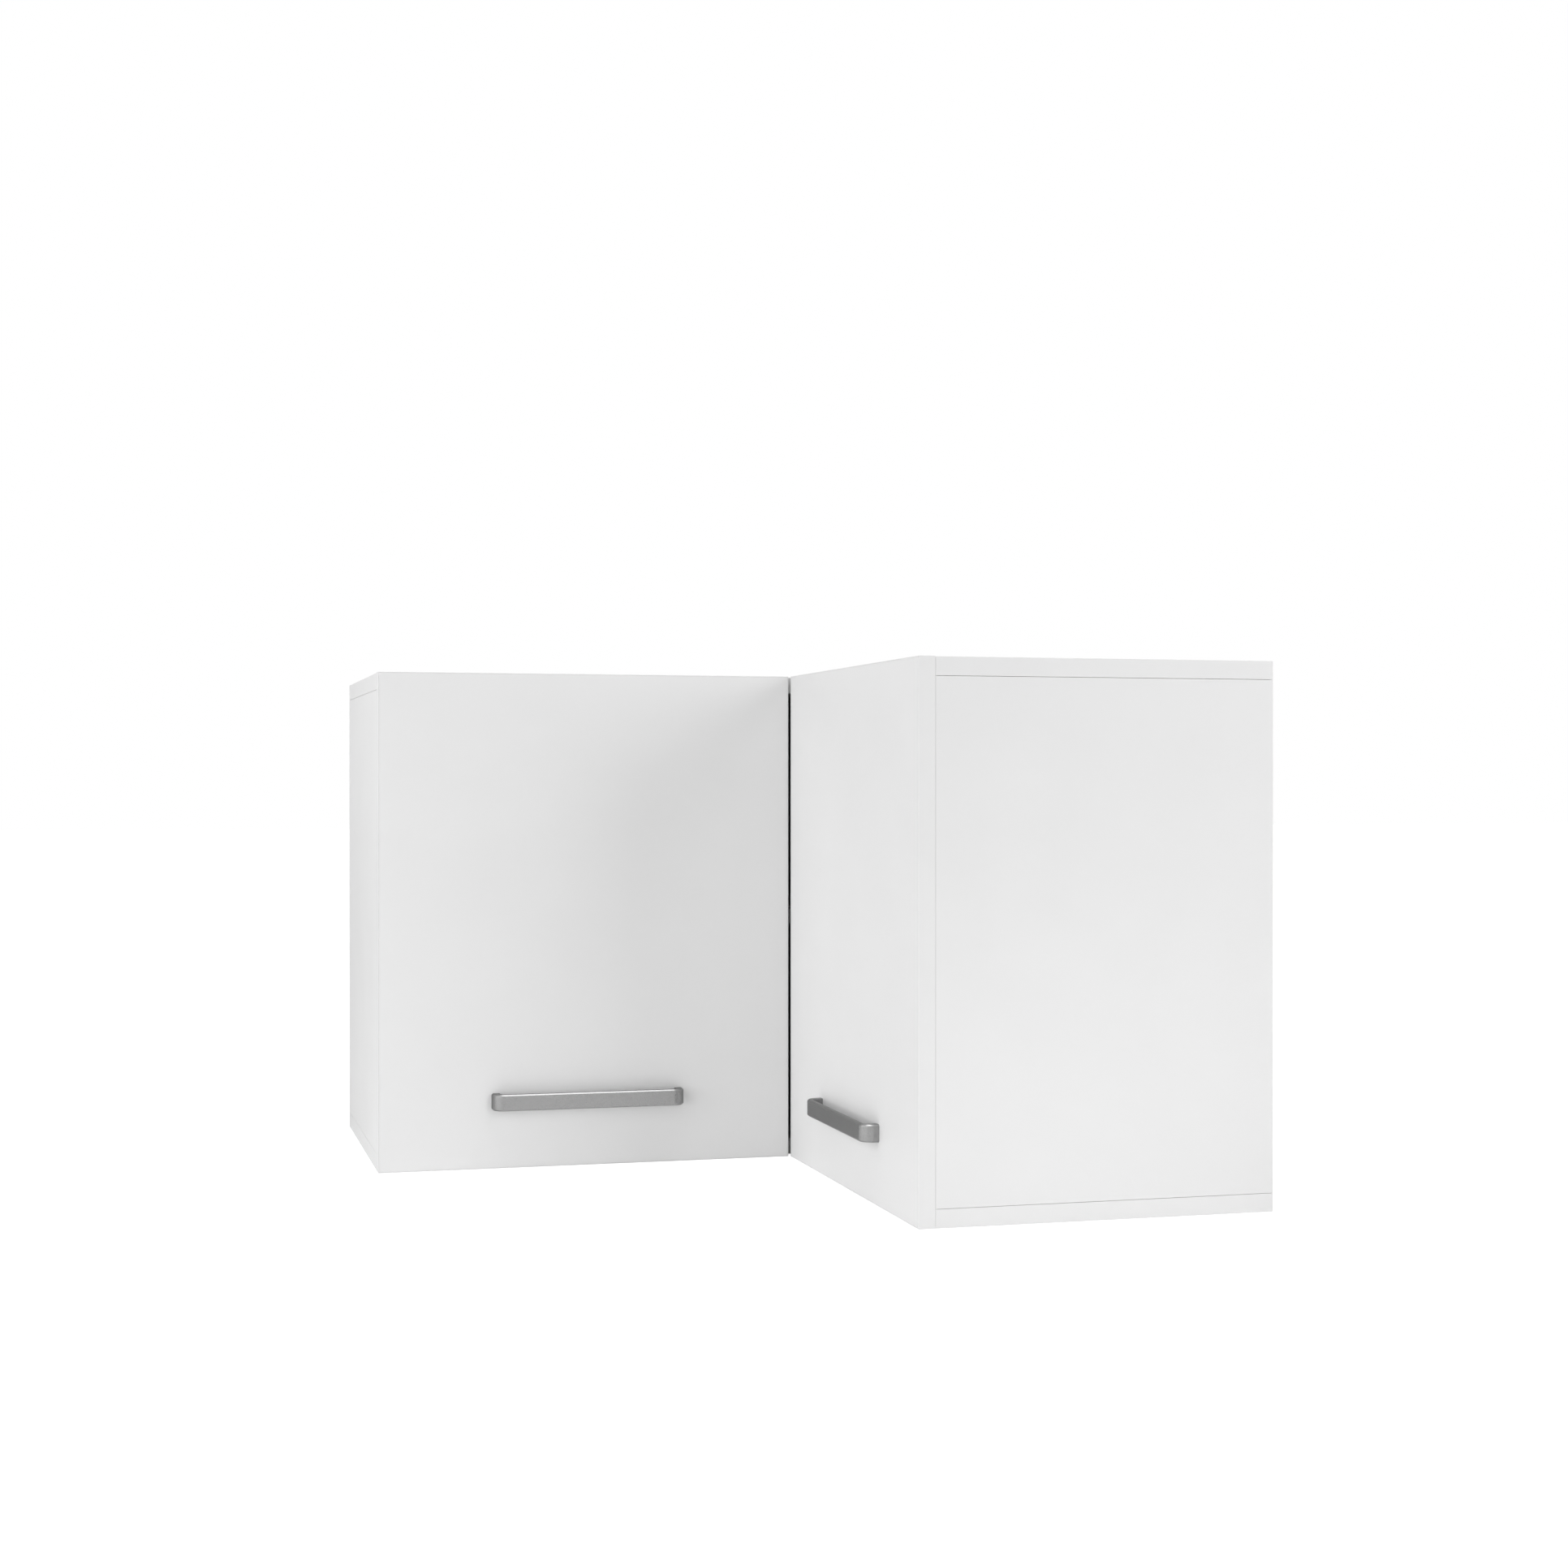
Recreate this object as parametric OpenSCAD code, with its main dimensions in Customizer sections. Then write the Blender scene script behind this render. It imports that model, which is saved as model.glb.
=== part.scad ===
// Corner wall cabinet with two wings, a door on each wing and a strap bow handle on each door.
// The two wings mirror each other about the vertical plane through the room corner.
// Plan layout: the door faces meet at the inner corner (X 0, Y 0), the room corner lies at +X +Y,
// and the whole is then moved so that the origin is the middle of the base.

/* [Carcass] */
// Height of the carcass
carcass_h = 540; // [480:1:720]
// Length of one wing's front, from the inner corner to its end
wing_w = 460; // [400:1:600]
// Depth of the carcass from its front edges to the wall
carcass_d = 348; // [320:1:380]
// Thickness of the top and bottom boards
board_t = 18; // [16:0.5:22]
// Thickness of the side panels
side_t = 18; // [16:0.5:22]
// Thickness of the shelf
shelf_t = 18; // [16:0.5:22]
// Height of the shelf's underside above the base
shelf_z = 261; // [220:1:300]
// Setback of the shelf's front edge behind the carcass front
shelf_setback = 10; // [4:1:20]
// Clearance round the shelf
shelf_gap = 1; // [0.5:0.1:2]
// Thickness of the back panels
back_t = 4; // [3:0.5:6]
// Space behind the back panels for the hangers
back_inset = 16; // [14:0.5:20]
// Depth of the grooves that hold the back panels
groove_d = 7; // [4:0.5:8]
// Width of the square post in the room corner
post_w = 40; // [30:1:60]

/* [Doors] */
// How far a door reaches above the top of the carcass
door_over = 0.5; // [0:0.1:3]
// Thickness of a door with its edging
door_t = 17; // [16:0.5:22]
// Thickness of the edging on a door's four edges
edging_t = 1; // [0.6:0.1:2]
// Gap between a closed door and the carcass
door_gap = 1; // [0.9:0.1:2]
// Gap from a door's free edge to the inner corner
corner_gap = 2; // [1:0.5:4]

/* [Handles] */
// Length of a handle over its legs
handle_len = 213; // [150:1:300]
// Height of the handle strap
handle_h = 18; // [12:0.5:24]
// Distance the handle stands out from the door
handle_reach = 18; // [16:0.5:30]
// Thickness of the strap
handle_t = 5.5; // [4:0.5:7]
// Width of a leg
handle_leg = 10.8; // [9:0.1:14]
// Outer radius of the handle's bends
handle_bend_r = 9.5; // [6:0.5:10]
// Inner radius of the handle's bends
handle_inner_r = 4; // [2:0.5:6]
// Height of the handle's middle above the base
handle_z = 73; // [50:1:120]
// Radius of the handle screws
handle_screw_r = 2; // [1.5:0.1:2.5]

/* [Hinges] */
// Distance of the hinges from the door's lower and upper edges
hinge_inset = 98; // [80:1:130]
// Radius of the hinge cup
cup_r = 17.5; // [17:0.1:18]
// Depth of the hinge cup in the door
cup_d = 12.5; // [12:0.1:13]
// Distance of the cup's centre from the door's hinge edge
cup_edge = 22.5; // [22:0.1:24]
// Width of the cup's pocket across the door
pocket_w = 30; // [29:0.1:31]
// Height of the cup's pocket
pocket_h = 14; // [13.6:0.1:15]
// Depth of the cup's pocket
pocket_d = 11; // [10.8:0.1:11.2]
// Thickness of the cup's rim plate
rim_t = 0.6; // [0.5:0.05:0.7]
// Radius of the link pins
pin_r = 1.5; // [1.3:0.1:1.6]
// Height of the hinge link
link_h = 10; // [8:0.5:10.4]
// Thickness of the hinge link
link_t = 3.2; // [2.4:0.1:3.4]
// Bow of the hinge link
link_bow = 9; // [8.6:0.1:9.2]
// Height of the hinge arm
arm_h = 13.2; // [12.8:0.1:13.6]
// Thickness of the arm's sheet
arm_t = 1.3; // [1:0.1:1.3]

/* [Fittings] */
// Radius of the shelf pins
shelf_pin_r = 2.5; // [2:0.5:3]
// Radius of the dowels
dowel_r = 4; // [3:0.5:5]
// Length of the dowels
dowel_len = 30; // [25:1:35]
// Radius of the cam housings
cam_r = 7.5; // [6:0.5:8]
// Spacing of the two screw slots in a wall plate
wall_slot_pitch = 32; // [26:1:36]
// Radius of the screw holes in a wall plate
wall_hole_r = 3; // [2.5:0.5:3.5]

/* [Hidden] */
$fn = 48;

// small clearances
fit_gap = 0.05;      // screws, dowels and pins in their holes
run_gap = 0.06;      // links on their pins
press_gap = 0.02;    // pins pressed into their bores
slide_gap = 0.3;     // loose pieces beside each other
eps = 0.01;          // cuts run this far past a face
hole_over = 0.5;     // holes end this far past what stands in them

// small screws of the hinge plates, the arms and the hangers
thin_r = 1.9;
thin_hole_r = 2.1;   // holes that they pass through
thin_deep = 11.5;    // how deep they go into a side panel
thin_head_r = 3.5;
thin_head_t = 2;

// cross recess of every screw
cross_len = 4.2;
cross_w = 0.8;
cross_d = 1;

// planes and lengths that follow from the sizes above
front = door_t + door_gap;               // carcass front behind the door faces
wall = front + carcass_d;                // wall side of the carcass
back_out = wall - back_inset;            // rear face of the back panels
back_in = back_out - back_t;             // inner face of the back panels
side_in = -wing_w + side_t;              // inner face of a side panel
side_h = carcass_h - 2 * board_t;        // height of a side panel between the boards
centre = (wing_w - wall) / 2;            // shift that puts the origin at the middle
door_w = wing_w - corner_gap;
door_h = carcass_h + door_over;
hinge_z = [hinge_inset, door_h - hinge_inset];

// handle
handle_mid = -corner_gap - door_w / 2;
handle_pitch = handle_len - handle_leg;
handle_bite = 8;                         // depth of the screws in the handle's legs
handle_head_t = 2.2;
handle_play = 0.5;                       // play of the screws in the door

// door buffers
buffer_in = 30;                          // distance from the door's free edge
buffer_r = 4;
buffer_play = 0.1;

// hinge, in its own plan: u runs inwards from the side panel's inner face, v out of its front edge
mouth_u = cup_edge - side_t;             // middle of the cup's mouth
arm_pin = [17, -4.5];                    // pivot of the link on the arm
cup_pin = [mouth_u - 11, door_gap + 5];  // pivot of the link in the cup
eye_r = 3;                               // round ends of the link
nose_r = 3.4;                            // round end of the arm
link_run = cup_pin - arm_pin;
link_span = norm(link_run);
link_r = (link_span * link_span / 4 + link_bow * link_bow) / (2 * link_bow);
link_side = [link_run[1], -link_run[0]] / link_span;
link_mid = (arm_pin + cup_pin) / 2 + link_side * (link_bow - link_r);
link_from = atan2(arm_pin[1] - link_mid[1], arm_pin[0] - link_mid[0]);
link_half = link_bow > link_r ? 180 - asin(link_span / 2 / link_r) : asin(link_span / 2 / link_r);
eye_wall = 0.7;                          // the bar ends inside its eyes, this far from their bores
eye_turn = (pin_r + eye_wall) / link_r * 180 / PI;
cup_play = 0.1;
rim_over = 1.5;                          // rim plate beyond the cup
rim_ear_r = 7;                           // round ends of the rim plate
rim_hole_r = 2;
rim_head_r = 3.5;
pin_bite = 2;                            // length of a cup pin in each wall of the pocket
pin_out = 0.4;                           // how far an arm pin stands out of the cheeks
rim_screw_z = 24;                        // rim screws above and below the cup's middle
rim_screw_u = mouth_u + 6;
rim_screw_r = 1.5;
rim_head_t = 1.8;
rim_screw_len = 10;                      // length of the rim screws in the door
plate_v = -37;                           // line of the mounting plate's screws
plate_screw_z = 16;
plate_t = 2;                             // thickness of the mounting plate
plate_rear = -58;
plate_len = 38;
plate_w = 16;
wing_r = 6;                              // round ends of the plate's two wings
block_rear = -57;
block_len = 34;
block_top = 8;                           // top of the plate's raised block
arm_top = 13.5;                          // outer face of the arm
arm_rear = -62;
arm_front = -18;                         // front end of the arm's web
arm_screw_v = [-50, -28];
arm_screw_end = plate_t + 1.5;           // inner end of the arm's screws

// board joints
cam_inset = 34;                          // cam centres from the panel's ends
cam_d = 12.5;
cam_from_front = 50;
cam_from_back = 62;
dowel_from_cam = 32;
cam_y = [front + cam_from_front, back_in - cam_from_back];
dowel_y = [cam_y[0] + dowel_from_cam, cam_y[1] - dowel_from_cam];
dowel_deep = 11.5;                       // depth of the dowel holes in the boards
post_dowel_at = [back_in - post_w * 0.7, back_in - post_w * 0.3];
post_dowels = [post_dowel_at, [post_dowel_at[1], post_dowel_at[0]]];
dowel_play = 0.3;                        // space at each end of a dowel
bolt_r = 3;
bolt_deep = 11;
bolt_play = 0.5;                         // play of a cam bolt in its panel
bolt_neck_r = 2;
bolt_head_len = 4;
cam_sunk = 0.2;
cam_mouth = 0.4;                         // space round the bolt in the cam's mouth
cap_t = 1;
cap_over = 1;                            // cover cap beyond the cam
cap_cross_len = 5;
cap_cross_d = 0.4;
groove_play = 0.5;                       // play of the back panels in their grooves

// shelf pins
pin_bore_d = 10;
pin_pitch = 32;
pin_head_r = 4;
pin_head_len = 8;
pin_collar_t = 1.5;
pin_from_edge = 55;
pin_y = [front + pin_from_edge, back_in - pin_from_edge];
post_pin_in = 16;                        // pins in the post, from its rear faces

// hangers, at the top rear of each side panel
hanger_gap = 8;                          // space between the top board and the hangers
hanger_top = carcass_h - board_t - hanger_gap;
hanger_h = 56;
hanger_d = 42;
hanger_w = 20;
hanger_t = 1.6;
hanger_screw_in = 32;
hanger_screw_end = 8;
hanger_screw_y = back_in - hanger_screw_in;
hanger_screw_z = [hanger_top - hanger_screw_end, hanger_top - hanger_h + hanger_screw_end];
access_r = 4;                            // holes over the fixing screws
hook_u = 9;
hook_t = 2.5;
hook_below = 12;
hook_top = hanger_top - hook_below;
hook_drop = 16;
hook_len = 30;                           // part of the hook in the housing: length, height and neck
hook_h = 26;
hook_neck = 8;
hook_bar = 6;                            // height of the bar that passes through the back panel
hook_slot_u = 2;                         // play of the hook in the back panel's slot, across and up
hook_slot_z = 4;
hang_gap = 0.6;                          // space between the hook and the wall plate's lip
height_screw_in = 20;
height_screw_below = 16;
height_screw_r = 2.5;
height_head_r = 4;
height_head_t = 1.8;
height_play = 0.1;
lip_behind = 6;
plate_lip_y = back_out + lip_behind;     // front face of the wall plate's lip
lip_h = 14;
lip_t = 2.2;
flange_y = wall - lip_t;
wall_plate_len = 60;
wall_plate_u = 3;
wall_plate_h = 42;
wall_slot_below = 34;
wall_slot_z = hook_top - wall_slot_below;

// places the children in the shared frame
module placed() {
    translate([centre, centre, 0]) children();
}

// the right wing is the left wing mirrored about the room corner's diagonal
module right_wing() {
    placed() mirror([1, -1, 0]) children();
}

// hinge plan at height z: local x is u, local y is v
module at_hinge(z) {
    translate([side_in, front, z]) mirror([0, 1, 0]) children();
}

module at_hinges() {
    for (z = hinge_z) at_hinge(z) children();
}

// cylinder along +X from x0 to x1
module rod_x(x0, x1, r) {
    translate([x0, 0, 0]) rotate([0, 90, 0]) cylinder(r = r, h = x1 - x0);
}

// cylinder along +Y from y0 to y1
module rod_y(y0, y1, r) {
    translate([0, y0, 0]) rotate([-90, 0, 0]) cylinder(r = r, h = y1 - y0);
}

// cross recess cut into a face at x 0 that looks along +X
module cross_recess(len = cross_len, deep = cross_d) {
    for (a = [0, 90]) rotate([a, 0, 0]) translate([-deep, -len / 2, -cross_w / 2])
        cube([deep + 1, len, cross_w]);
}

// L-shaped plan: ends at x or y = far_end, front edges at near, rear edges at rear
module l_plan(far_end, near, rear) {
    polygon([
        [far_end, near], [near, near], [near, far_end],
        [rear, far_end], [rear, rear], [far_end, rear]
    ]);
}

// groove for a back panel, cut into a face that starts at z0
module back_grooves(z0) {
    slot = back_t + 2 * fit_gap;
    end = side_in - groove_d;
    translate([end, back_in - fit_gap, z0]) cube([back_out + fit_gap - end, slot, groove_d + eps]);
    translate([back_in - fit_gap, end, z0]) cube([slot, back_out + fit_gap - end, groove_d + eps]);
}

// holes that go up from z 0 into a board at the dowels and cam bolts of both wings and of the post
module board_holes() {
    for (turn = [0, 1]) mirror([turn, -turn, 0]) {
        for (y = dowel_y) translate([-wing_w + side_t / 2, y, -eps])
            cylinder(r = dowel_r + fit_gap, h = dowel_deep + eps);
        for (y = cam_y) translate([-wing_w + side_t / 2, y, -eps])
            cylinder(r = bolt_r + fit_gap, h = bolt_deep + eps);
    }
    for (p = post_dowels) translate([p[0], p[1], -eps])
        cylinder(r = dowel_r + fit_gap, h = dowel_deep + eps);
}

// Carcass boards and panels

module top_panel() {
    color("whitesmoke") placed() difference() {
        translate([0, 0, carcass_h - board_t]) linear_extrude(board_t) l_plan(-wing_w, front, wall);
        back_grooves(carcass_h - board_t - eps);
        translate([0, 0, carcass_h - board_t]) board_holes();
    }
}

module bottom_panel() {
    color("whitesmoke") placed() difference() {
        linear_extrude(board_t) l_plan(-wing_w, front, wall);
        back_grooves(board_t - groove_d);
        translate([0, 0, board_t]) mirror([0, 0, 1]) board_holes();
    }
}

module shelf() {
    notch = post_w + shelf_gap;
    color("whitesmoke") placed() difference() {
        translate([0, 0, shelf_z]) linear_extrude(shelf_t)
            l_plan(side_in + shelf_gap, front + shelf_setback, back_in - shelf_gap);
        translate([back_in - notch, back_in - notch, shelf_z - 1]) cube([notch, notch, shelf_t + 2]);
    }
}

module side_panel() {
    color("whitesmoke") difference() {
        translate([-wing_w, front, board_t]) cube([side_t, carcass_d, side_h]);
        // groove for the back panel
        translate([side_in - groove_d, back_in - fit_gap, board_t - eps])
            cube([groove_d + eps, back_t + 2 * fit_gap, side_h + 2 * eps]);
        // dowel and bolt holes in both ends
        for (end = [0, 1]) {
            z_end = end == 0 ? board_t : carcass_h - board_t;
            inward = end == 0 ? 1 : -1;
            long_hole = dowel_len - dowel_deep + 2 * hole_over;
            for (y = dowel_y) translate([-wing_w + side_t / 2, y, z_end]) mirror([0, 0, end])
                translate([0, 0, -eps]) cylinder(r = dowel_r + fit_gap, h = long_hole);
            for (y = cam_y) {
                translate([-wing_w + side_t / 2, y, z_end]) mirror([0, 0, end])
                    translate([0, 0, -eps]) cylinder(r = bolt_r + bolt_play, h = cam_inset);
                translate([0, y, z_end + inward * cam_inset])
                    rod_x(side_in - cam_d - fit_gap, side_in + eps, cam_r + fit_gap);
            }
        }
        // shelf pin holes, one position in use and one above and below it
        for (y = pin_y, k = [-1, 0, 1]) translate([0, y, shelf_z - pin_head_r + k * pin_pitch])
            rod_x(side_in - pin_bore_d, side_in + eps, shelf_pin_r + fit_gap);
        // mounting plate screws
        for (z = hinge_z, s = [-1, 1]) translate([0, front - plate_v, z + s * plate_screw_z])
            rod_x(side_in - thin_deep - hole_over, side_in + eps, thin_r + fit_gap);
        // hanger screws
        for (z = hanger_screw_z) translate([0, hanger_screw_y, z])
            rod_x(side_in - thin_deep - hole_over, side_in + eps, thin_r + fit_gap);
    }
}

module left_side_panel() {
    placed() side_panel();
}

module right_side_panel() {
    right_wing() side_panel();
}

// back panel of one wing, running from the side panel's groove to x_end
module back_panel(x_end) {
    x0 = side_in - groove_d + groove_play;
    z0 = board_t - groove_d + groove_play;
    color("gainsboro") difference() {
        translate([x0, back_in, z0]) cube([x_end - x0, back_t, carcass_h - 2 * z0]);
        // slot for the hanger hook
        translate([side_in + hook_u - hook_slot_u, back_in - 1, hook_top - hook_drop - hook_slot_z])
            cube([hook_t + 2 * hook_slot_u, back_t + 2, hook_drop + 2 * hook_slot_z]);
    }
}

module left_back_panel() {
    placed() back_panel(back_out);
}

module right_back_panel() {
    right_wing() back_panel(back_in - fit_gap);
}

module corner_post() {
    color("whitesmoke") placed() difference() {
        translate([back_in - post_w, back_in - post_w, board_t])
            cube([post_w - fit_gap, post_w - fit_gap, side_h]);
        long_hole = dowel_len - dowel_deep + 2 * hole_over;
        for (p = post_dowels) {
            translate([p[0], p[1], board_t - eps]) cylinder(r = dowel_r + fit_gap, h = long_hole);
            translate([p[0], p[1], carcass_h - board_t - long_hole + eps])
                cylinder(r = dowel_r + fit_gap, h = long_hole);
        }
        for (turn = [0, 1]) mirror([turn, -turn, 0])
            translate([0, back_in - post_pin_in, shelf_z - pin_head_r])
                rod_x(back_in - post_w - eps, back_in - post_w + pin_bore_d, shelf_pin_r + fit_gap);
    }
}

// Doors

module door() {
    mid_x = -corner_gap - door_w / 2;
    color("white") difference() {
        translate([mid_x - door_w / 2 + edging_t, 0, edging_t])
            cube([door_w - 2 * edging_t, door_t, door_h - 2 * edging_t]);
        at_hinges() {
            translate([mouth_u, 0, 0]) rod_y(0, door_gap + cup_d, cup_r);
            for (s = [-1, 1]) translate([rim_screw_u, 0, s * rim_screw_z])
                rod_y(0, door_gap + rim_screw_len + 2 * hole_over, rim_screw_r + fit_gap);
        }
        for (s = [-1, 1]) translate([handle_mid + s * handle_pitch / 2, 0, handle_z])
            rod_y(-eps, door_t + eps, handle_screw_r + handle_play);
    }
}

module left_door() {
    placed() door();
}

module right_door() {
    right_wing() door();
}

module door_edging() {
    color("whitesmoke") {
        for (x = [-wing_w, -corner_gap - edging_t]) translate([x, 0, 0]) cube([edging_t, door_t, door_h]);
        for (z = [0, door_h - edging_t]) translate([-wing_w + edging_t, 0, z])
            cube([door_w - 2 * edging_t, door_t, edging_t]);
    }
}

module left_door_edging() {
    placed() door_edging();
}

module right_door_edging() {
    right_wing() door_edging();
}

// plan of a strip from the door face outwards, with its two outer corners rounded
module rounded_bar(len, reach, r) {
    translate([-len / 2, -reach + r]) square([len, reach - r]);
    translate([-len / 2 + r, -reach]) square([len - 2 * r, reach]);
    for (s = [-1, 1]) translate([s * (len / 2 - r), -reach + r]) intersection() {
        circle(r = r);
        translate([-r, -r]) square([2 * r, r]);
    }
}

module handle() {
    color("silver") translate([handle_mid, 0, handle_z]) difference() {
        translate([0, 0, -handle_h / 2]) linear_extrude(handle_h) difference() {
            rounded_bar(handle_len, handle_reach, handle_bend_r);
            translate([0, eps])
                rounded_bar(handle_len - 2 * handle_leg, handle_reach - handle_t + eps, handle_inner_r);
        }
        for (s = [-1, 1]) translate([s * handle_pitch / 2, 0, 0])
            rod_y(-handle_bite - 2 * hole_over, eps, handle_screw_r + fit_gap);
    }
}

module left_handle() {
    placed() handle();
}

module right_handle() {
    right_wing() handle();
}

module handle_screws() {
    color("darkgray") for (s = [-1, 1]) translate([handle_mid + s * handle_pitch / 2, 0, handle_z]) {
        rod_y(-handle_bite, door_t + eps, handle_screw_r);
        difference() {
            translate([0, door_t, 0]) rod_y(0, handle_head_t, 2 * handle_screw_r);
            translate([0, door_t + handle_head_t, 0]) rotate([0, 0, 90]) cross_recess();
        }
    }
}

module left_handle_screws() {
    placed() handle_screws();
}

module right_handle_screws() {
    right_wing() handle_screws();
}

// thin round buffers on the door's inner face, in front of the top and bottom boards
module door_buffers() {
    color("gainsboro") for (z = [board_t / 2, carcass_h - board_t / 2])
        translate([-corner_gap - buffer_in, 0, z]) rod_y(door_t, door_t + door_gap - buffer_play, buffer_r);
}

module left_door_buffers() {
    placed() door_buffers();
}

module right_door_buffers() {
    right_wing() door_buffers();
}

// Hinges

module hinge_cup() {
    difference() {
        union() {
            translate([mouth_u, 0, 0]) rod_y(door_gap, door_gap + cup_d - cup_play, cup_r - fit_gap);
            // rim plate
            translate([0, door_gap - rim_t, 0]) {
                translate([mouth_u, 0, 0]) rod_y(0, rim_t, cup_r + rim_over);
                translate([rim_screw_u - rim_ear_r, 0, -rim_screw_z])
                    cube([2 * rim_ear_r, rim_t, 2 * rim_screw_z]);
                for (s = [-1, 1]) translate([rim_screw_u, 0, s * rim_screw_z]) rod_y(0, rim_t, rim_ear_r);
            }
        }
        // pocket for the link
        translate([mouth_u - pocket_w / 2, door_gap - 2, -pocket_h / 2])
            cube([pocket_w, pocket_d + 2, pocket_h]);
        // pin bores in the pocket's walls
        translate([cup_pin[0], cup_pin[1], -pocket_h / 2 - pin_bite - hole_over])
            cylinder(r = pin_r + press_gap, h = pocket_h + 2 * (pin_bite + hole_over));
        for (s = [-1, 1]) translate([rim_screw_u, 0, s * rim_screw_z]) rod_y(-1, door_gap + 1, rim_hole_r);
    }
}

module hinge_cups() {
    color("silver") at_hinges() hinge_cup();
}

module left_hinge_cups() {
    placed() hinge_cups();
}

module right_hinge_cups() {
    right_wing() hinge_cups();
}

module cup_screws() {
    color("silver") at_hinges() for (s = [-1, 1]) translate([rim_screw_u, 0, s * rim_screw_z]) {
        head = door_gap - rim_t;             // underside of the screw's head
        rod_y(head - eps, door_gap + rim_screw_len, rim_screw_r);
        difference() {
            rod_y(head - rim_head_t, head, rim_head_r);
            translate([0, head - rim_head_t, 0]) rotate([0, 0, -90]) cross_recess();
        }
    }
}

module left_cup_screws() {
    placed() cup_screws();
}

module right_cup_screws() {
    right_wing() cup_screws();
}

module cup_pins() {
    color("dimgray") at_hinges() translate([cup_pin[0], cup_pin[1], -pocket_h / 2 - pin_bite])
        cylinder(r = pin_r, h = pocket_h + 2 * pin_bite);
}

module left_cup_pins() {
    placed() cup_pins();
}

module right_cup_pins() {
    right_wing() cup_pins();
}

// plan of the link: a bar bent to an arc, with a round eye at each pin
module link_plan() {
    turn = link_half - eye_turn;
    difference() {
        union() {
            translate(link_mid) rotate(link_from + link_half) intersection() {
                difference() {
                    circle(r = link_r + link_t / 2);
                    circle(r = link_r - link_t / 2);
                }
                polygon([[0, 0], for (a = [-turn, 0, turn]) 3 * link_r * [cos(a), sin(a)]]);
            }
            for (p = [arm_pin, cup_pin]) translate(p) circle(r = eye_r);
        }
        for (p = [arm_pin, cup_pin]) translate(p) circle(r = pin_r + run_gap);
    }
}

module hinge_links() {
    color("silver") at_hinges() translate([0, 0, -link_h / 2]) linear_extrude(link_h) link_plan();
}

module left_hinge_links() {
    placed() hinge_links();
}

module right_hinge_links() {
    right_wing() hinge_links();
}

// side view of the arm: sheet cheeks that reach from the rear to the nose at the arm pin
module arm_cheek() {
    polygon([
        [plate_t + slide_gap, arm_rear], [arm_top, arm_rear], [arm_top, arm_front],
        [arm_pin[0] + nose_r - 0.4, arm_pin[1] - 1], [arm_pin[0], arm_pin[1] + 1],
        [arm_pin[0] - nose_r + 0.6, arm_pin[1] + 1], [8, -14], [plate_t + slide_gap, arm_front + 1]
    ]);
    translate(arm_pin) circle(r = nose_r);
}

module hinge_arm() {
    difference() {
        union() {
            for (s = [0, 1]) mirror([0, 0, s]) translate([0, 0, arm_h / 2 - arm_t])
                linear_extrude(arm_t) arm_cheek();
            translate([arm_top - arm_t, arm_rear, -arm_h / 2]) cube([arm_t, arm_front - arm_rear, arm_h]);
        }
        for (s = [-1, 1]) translate([arm_pin[0], arm_pin[1], s * (arm_h / 2 - arm_t / 2) - arm_t])
            cylinder(r = pin_r + press_gap, h = 2 * arm_t);
        for (v = arm_screw_v) translate([0, v, 0])
            rod_x(arm_top - 2 * arm_t, arm_top + 1, thin_r + 2 * fit_gap);
    }
}

module hinge_arms() {
    color("silver") at_hinges() hinge_arm();
}

module left_hinge_arms() {
    placed() hinge_arms();
}

module right_hinge_arms() {
    right_wing() hinge_arms();
}

module arm_pins() {
    color("dimgray") at_hinges() translate([arm_pin[0], arm_pin[1], -arm_h / 2 - pin_out])
        cylinder(r = pin_r, h = arm_h + 2 * pin_out);
}

module left_arm_pins() {
    placed() arm_pins();
}

module right_arm_pins() {
    right_wing() arm_pins();
}

module arm_screws() {
    color("darkgray") at_hinges() for (v = arm_screw_v) translate([0, v, 0]) difference() {
        union() {
            rod_x(arm_screw_end, arm_top + eps, thin_r);
            rod_x(arm_top, arm_top + thin_head_t, thin_head_r);
        }
        translate([arm_top + thin_head_t, 0, 0]) cross_recess();
    }
}

module left_arm_screws() {
    placed() arm_screws();
}

module right_arm_screws() {
    right_wing() arm_screws();
}

module hinge_plate() {
    block_w = arm_h - 2 * arm_t - 2 * slide_gap;
    difference() {
        union() {
            translate([0, plate_rear, -plate_w / 2]) cube([plate_t, plate_len, plate_w]);
            translate([0, plate_v - wing_r, -plate_screw_z]) cube([plate_t, 2 * wing_r, 2 * plate_screw_z]);
            for (s = [-1, 1]) translate([0, plate_v, s * plate_screw_z]) rod_x(0, plate_t, wing_r);
            translate([0, block_rear, -block_w / 2]) cube([block_top, block_len, block_w]);
        }
        for (s = [-1, 1]) translate([0, plate_v, s * plate_screw_z]) rod_x(-1, plate_t + 1, thin_hole_r);
        for (v = arm_screw_v) translate([0, v, 0])
            rod_x(arm_screw_end - hole_over, block_top + 1, thin_r + fit_gap);
    }
}

module hinge_plates() {
    color("silver") at_hinges() hinge_plate();
}

module left_hinge_plates() {
    placed() hinge_plates();
}

module right_hinge_plates() {
    right_wing() hinge_plates();
}

module plate_screws() {
    color("silver") at_hinges() for (s = [-1, 1]) translate([0, plate_v, s * plate_screw_z]) difference() {
        union() {
            rod_x(-thin_deep, plate_t + eps, thin_r);
            rod_x(plate_t, plate_t + thin_head_t, thin_head_r);
        }
        translate([plate_t + thin_head_t, 0, 0]) cross_recess();
    }
}

module left_plate_screws() {
    placed() plate_screws();
}

module right_plate_screws() {
    right_wing() plate_screws();
}

// Shelf pins and board joints

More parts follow.
